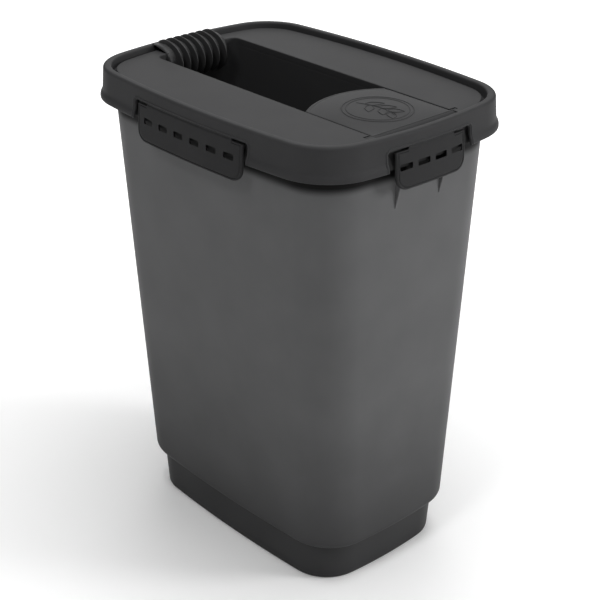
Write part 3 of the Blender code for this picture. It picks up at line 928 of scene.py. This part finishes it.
def make_flap(materials):
    """The domed flap with its rolled free edge, and its hinge pin."""
    top, bottom = [], []
    for v in spread(FLAP_ROWS, CROWDING):
        y = v * FLAP_HALF
        start = free_edge(y)
        upper, lower = [], []
        for u in spread(FLAP_COLUMNS, CROWDING):
            x = start + (FLAP_HINGE[0] - start) * (u + 1) / 2
            edge = (x - start) * math.cos(math.asin(y / FLAP_ARC))
            side = FLAP_HALF - abs(y)
            drop = rolled(edge, FLAP_ROLL) + groove(edge, *FLAP_GROOVE)
            drop += rolled(side, FLAP_SIDE_ROUND)
            floor = FLAP_UNDER_Z - (FLAP_LIP[1] if edge < FLAP_LIP[0] else 0.0)
            upper.append((x, y, max(flap_top(x, y) - drop, floor + LEAST_SKIN)))
            lower.append((x, y, floor))
        top.append(upper)
        bottom.append(lower)
    flap = plate("flap_shell", top, bottom)
    circle = [math.tau * i / 24 for i in range(24)]
    end = PIN_SLOT_REACH - PIN_PLAY
    shoulder = end - PIN_END_BEVEL
    rings = []
    for y, radius in ((-end, PIN_END_RADIUS), (-shoulder, PIN_RADIUS),
                      (shoulder, PIN_RADIUS), (end, PIN_END_RADIUS)):
        rings.append([(FLAP_HINGE[0] + radius * math.sin(a), y,
                       FLAP_HINGE[2] + radius * math.cos(a)) for a in circle])
    joined(flap, [skin("flap_pin", rings)], "UNION")
    place(flap, "pour_flap", materials["flap"], "flap_plastic", "pour_flap")


def ridge(name, path, width, height):
    """A low raised line on the flap. path holds (x, y, share of the full width)."""
    rings = []
    for i, (x, y, share) in enumerate(path):
        before = path[max(i - 1, 0)]
        after = path[min(i + 1, len(path) - 1)]
        run = Vector((after[0] - before[0], after[1] - before[1])).normalized()
        across = Vector((-run.y, run.x))
        ring = []
        for offset, rise in ((-0.5, -BURY), (-0.5, 0.0), (-0.3, 0.75), (0.0, 1.0),
                             (0.3, 0.75), (0.5, 0.0), (0.5, -BURY)):
            px = x + across.x * offset * width * share
            py = y + across.y * offset * width * share
            lift = rise if rise < 0 else rise * height * (0.35 + 0.65 * share)
            ring.append((px, py, flap_top(px, py) + lift))
        rings.append(ring)
    return skin(name, rings)


def ring_band(name, inner, outer, height):
    """A raised band round the emblem."""
    sections = ((outer, -BURY), (outer, height * 0.2), (outer - EMBLEM_RING_BEVEL, height),
                (inner + EMBLEM_RING_BEVEL, height), (inner, height * 0.2), (inner, -BURY))
    steps = 120
    rings = []
    for radius, lift in sections:
        ring = []
        for i in range(steps):
            angle = math.tau * i / steps
            x, y = EMBLEM_X + radius * math.cos(angle), radius * math.sin(angle)
            ring.append((x, y, flap_top(x, y) + lift))
        rings.append(ring)
    return skin(name, rings, closed=True)


def leaf_side(start, angle, length, side):
    """One edge of a leaf, from its stalk to its tip."""
    path = []
    for i in range(15):
        t = i / 14
        along = length * t
        across = side * LEAF_BOW * math.sin(math.pi * t ** 0.85)
        x = start[0] + along * math.cos(angle) - across * math.sin(angle)
        y = start[1] + along * math.sin(angle) + across * math.cos(angle)
        path.append((x, y, math.sin(math.pi * (0.12 + 0.76 * t))))
    return path


def make_emblem(materials):
    """A generic sprig of leaves in a double ring, in low relief."""
    pieces = [ring_band(f"emblem_ring_{name}", EMBLEM_RADIUS - inner, EMBLEM_RADIUS - outer,
                        height)
              for name, inner, outer, height in EMBLEM_RINGS]
    stem = []
    for i in range(STEM_STEPS + 1):
        t = i / STEM_STEPS
        x = STEM_X[0] + (STEM_X[1] - STEM_X[0]) * t
        y = STEM_Y + STEM_BOW * math.sin(math.pi * (t - 0.1))
        stem.append((x, y, math.sin(math.pi * (0.1 + 0.8 * t))))
    pieces.append(ridge("emblem_stem", stem, STEM_WIDTH, EMBLEM_RELIEF))
    for number, (t, turn) in enumerate(LEAVES):
        base = stem[round(t * STEM_STEPS)]
        angle = turn * math.radians(lerp(t, (0, 1), LEAF_ANGLES))
        length = lerp(t, (0, 1), LEAF_LENGTHS)
        for side in (-1, 1):
            path = leaf_side(base, angle, length, side)
            pieces.append(ridge(f"emblem_leaf_{number}_{'a' if side < 0 else 'b'}", path,
                                LEAF_WIDTH, EMBLEM_RELIEF))
    for piece in pieces:
        place(piece, "pour_flap", materials["flap"], "flap_plastic")


# Clips --------------------------------------------------------------------

# Insets of the clip's outer and inner face from the rim outline, by height.
CLIP_ZS = [CLIP_BOTTOM_Z + 0.0020, CLIP_TOP_Z - 0.0009, CLIP_TOP_Z]
CLIP_OUT = [0.0, 0.0026, 0.0031]
CLIP_INNER_ZS = [CLIP_BOTTOM_Z + 0.0020, CLIP_TOP_Z - 0.0050, CLIP_TOP_Z]
CLIP_IN = [CLIP_THICK, 0.0044, 0.0053]


def edge_distance(s, z, half):
    """Distance from the plate's ends and lower edge, with its round lower corners."""
    over_s = abs(s) - (half - CLIP_CORNER)
    over_z = CLIP_BOTTOM_Z + CLIP_CORNER - z
    if over_s > 0 and over_z > 0:
        return CLIP_CORNER - math.hypot(over_s, over_z)
    return min(half - abs(s), z - CLIP_BOTTOM_Z)


def clip_stations(half):
    """Places across a clip, closest together at its slits, its edges and round corners."""
    slit = half - CLIP_SLIT_LENGTH
    side = [slit * i / 12 for i in range(1, 13)]
    side += [slit + 0.0005, slit + 0.0012, half - CLIP_CORNER]
    side += [half - 0.0012 - 0.0003 * i for i in range(8)]
    side += [half - CLIP_CORNER * (1 - math.sin(math.radians(a)))
             for a in (12, 24, 35, 45, 54, 62, 69, 75, 80, 84, 87, 89, 90)]
    side = sorted(side)
    return [-s for s in reversed(side)] + [0.0] + side


def make_clip_plate(name, spec, side):
    """A clip's bowed plate, with a rolled edge, an inner groove and a slit at each end."""
    half, along = spec["half"], spec["along"]
    outer, inner = [], []
    for s in clip_stations(half):
        reach = max(0.0, abs(s) - (half - CLIP_CORNER))
        low = CLIP_BOTTOM_Z + CLIP_CORNER - math.sqrt(max(0.0, CLIP_CORNER ** 2 - reach ** 2))
        cut = CLIP_SLIT if abs(s) > half - CLIP_SLIT_LENGTH + CLIP_LEAST else 0.0
        high = CLIP_TOP_Z - cut
        front, back = [], []
        for i in range(CLIP_ROWS):
            share = 1 - (1 - i / (CLIP_ROWS - 1)) ** 1.35
            z = high + (low - high) * share
            gap = max(0.0, edge_distance(s, z, half))
            if cut:
                gap = min(gap, high - z + CLIP_SLIT_LIP)
            fall = rolled(gap, CLIP_EDGE) + groove(gap, *CLIP_GROOVE)
            rear = lerp(z, CLIP_INNER_ZS, CLIP_IN)
            face = min(lerp(z, CLIP_ZS, CLIP_OUT) + fall, rear - CLIP_LEAST)
            for row, distance in ((front, face), (back, rear)):
                out = outline_at(along, s, inset(RIM, distance))
                row.append(on_side(along, side, s, out, z))
        outer.append(front)
        inner.append(back)
    return plate(f"{name}_plate", outer, inner)


def slot_tools(name, spec, side):
    """Cutters for the row of slots, with a rounded lip and relieved behind it."""
    along = spec["along"]
    tools = []
    for number in range(spec["slots"]):
        at = (number - (spec["slots"] - 1) / 2) * spec["pitch"]
        face = outline_at(along, at, RIM)
        rings = []
        for depth, growth in SLOT_LEVELS:
            points = round_rect(spec["slot"] / 2 + growth, SLOT_HEIGHT / 2 + growth,
                                SLOT_CORNER + growth, 4)
            rings.append([on_side(along, side, at + s, face - depth, SLOT_Z + z)
                          for s, z in points])
        tools.append(skin(f"{name}_slot_{number}", rings))
    return tools


def make_film_hinge(name, spec, side, materials):
    """The thin web that joins a clip to the rim."""
    along = spec["along"]
    reach = spec["half"] - CLIP_SLIT_LENGTH - 0.0006
    front, back = [], []
    for i in range(FILM_STEPS + 1):
        s = -reach + 2 * reach * i / FILM_STEPS
        upper, lower = [], []
        for z, depth in zip(FILM_ZS, FILM_CREASE):
            if depth is None:
                above = z > CLIP_TOP_Z
                zs, insets = (FLARE_ZS, FLARE_INSETS) if above else (CLIP_ZS, CLIP_OUT)
                depth = lerp(z, zs, insets) - HAIR
            face = outline_at(along, s, inset(RIM, depth))
            upper.append(on_side(along, side, s, face, z))
            lower.append(on_side(along, side, s, face - FILM_THICK, z))
        front.append(upper)
        back.append(lower)
    web = plate(f"{name}_film_hinge", front, back)
    web.data.materials.append(materials["film"])
    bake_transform(web)


def make_clips(materials):
    for name, spec, side in CLIPS:
        piece = make_clip_plate(name, spec, side)
        joined(piece, slot_tools(name, spec, side), "DIFFERENCE")
        place(piece, name, materials["clip"], "clip_plastic", name)
        make_film_hinge(name, spec, side, materials)


# Stage --------------------------------------------------------------------

CAMERA_AZIMUTH = math.radians(47.865)
CAMERA_ELEVATION = math.radians(26.763)
CAMERA_PLACE = (0.9616, -0.8628, 0.8837)
CAMERA_LENS = 88.61
CAMERA_SENSOR = 36.0
MIDDLE = (0.0, 0.0, 0.25)
# Soft lights, as (name, place, what it faces, diameter, power).
LIGHTS = (
    ("back", (-1.60, 1.45, 1.35), MIDDLE, 1.8, 12),
    ("right", (1.75, 1.40, 1.00), MIDDLE, 0.7, 26),
    ("top", (0.10, 0.10, 2.20), MIDDLE, 1.6, 30),
    ("front", (0.35, -1.25, 1.75), (0.0, 0.0, 0.42), 0.5, 7),
)
WORLD_STRENGTH = 0.18
FLOOR_REACH = 20.0
FLOOR_WHITE = 0.93
FLOOR_ROUGHNESS = 0.9
# The floor's glow, painted light, as (distance from the bin's middle, strength) at its start and
# end.
FLOOR_GLOW = ((0.15, 0.12), (1.30, 0.60))


def make_camera():
    data = bpy.data.cameras.new("camera")
    data.sensor_width = CAMERA_SENSOR
    data.lens = CAMERA_LENS
    camera = bpy.data.objects.new("camera", data)
    back = Vector((math.sin(CAMERA_AZIMUTH) * math.cos(CAMERA_ELEVATION),
                   -math.cos(CAMERA_AZIMUTH) * math.cos(CAMERA_ELEVATION),
                   math.sin(CAMERA_ELEVATION)))
    camera.location = CAMERA_PLACE
    camera.rotation_euler = back.to_track_quat("Z", "Y").to_euler()
    bpy.context.scene.collection.objects.link(camera)
    bpy.context.scene.camera = camera


def add_area(name, place_at, target, size, power):
    data = bpy.data.lights.new(name, "AREA")
    data.shape = "DISK"
    data.size = size
    data.energy = power
    light = bpy.data.objects.new(name, data)
    light.location = place_at
    aim = Vector(place_at) - Vector(target)
    light.rotation_euler = aim.to_track_quat("Z", "Y").to_euler()
    bpy.context.scene.collection.objects.link(light)


def make_stage():
    bm = bmesh.new()
    bmesh.ops.create_grid(bm, x_segments=1, y_segments=1, size=FLOOR_REACH)
    floor = new_piece("floor", bm)
    made, tree, shader = shader_of("floor_white")
    shader.inputs["Base Color"].default_value = (FLOOR_WHITE, FLOOR_WHITE, FLOOR_WHITE, 1)
    shader.inputs["Roughness"].default_value = FLOOR_ROUGHNESS
    # The floor glows with painted light that is weakest next to the bin and grows away from it,
    # like a lit studio sweep.
    shader.inputs["Emission Color"].default_value = (1, 1, 1, 1)
    position = tree.nodes.new("ShaderNodeTexCoord").outputs["Object"]
    reach = tree.nodes.new("ShaderNodeVectorMath")
    reach.operation = "LENGTH"
    tree.links.new(position, reach.inputs[0])
    glow = tree.nodes.new("ShaderNodeMapRange")
    glow.interpolation_type = "SMOOTHSTEP"
    for end, (distance, strength) in zip(("Min", "Max"), FLOOR_GLOW):
        glow.inputs[f"From {end}"].default_value = distance
        glow.inputs[f"To {end}"].default_value = strength
    tree.links.new(reach.outputs["Value"], glow.inputs["Value"])
    tree.links.new(glow.outputs["Result"], shader.inputs["Emission Strength"])
    floor.data.materials.append(made)

    scene = bpy.context.scene
    scene.view_settings.view_transform = "Standard"
    world = bpy.data.worlds.new("studio")
    scene.world = world
    world.use_nodes = True
    background = world.node_tree.nodes["Background"]
    background.inputs["Color"].default_value = (1, 1, 1, 1)
    background.inputs["Strength"].default_value = WORLD_STRENGTH
    for light in LIGHTS:
        add_area(*light)


def main():
    materials = make_materials()
    make_camera()
    make_stage()
    make_bin(materials)
    make_lid(materials)
    make_notch_beads(materials)
    make_seal(materials)
    make_grip(materials)
    make_flap(materials)
    make_emblem(materials)
    make_clips(materials)


main()
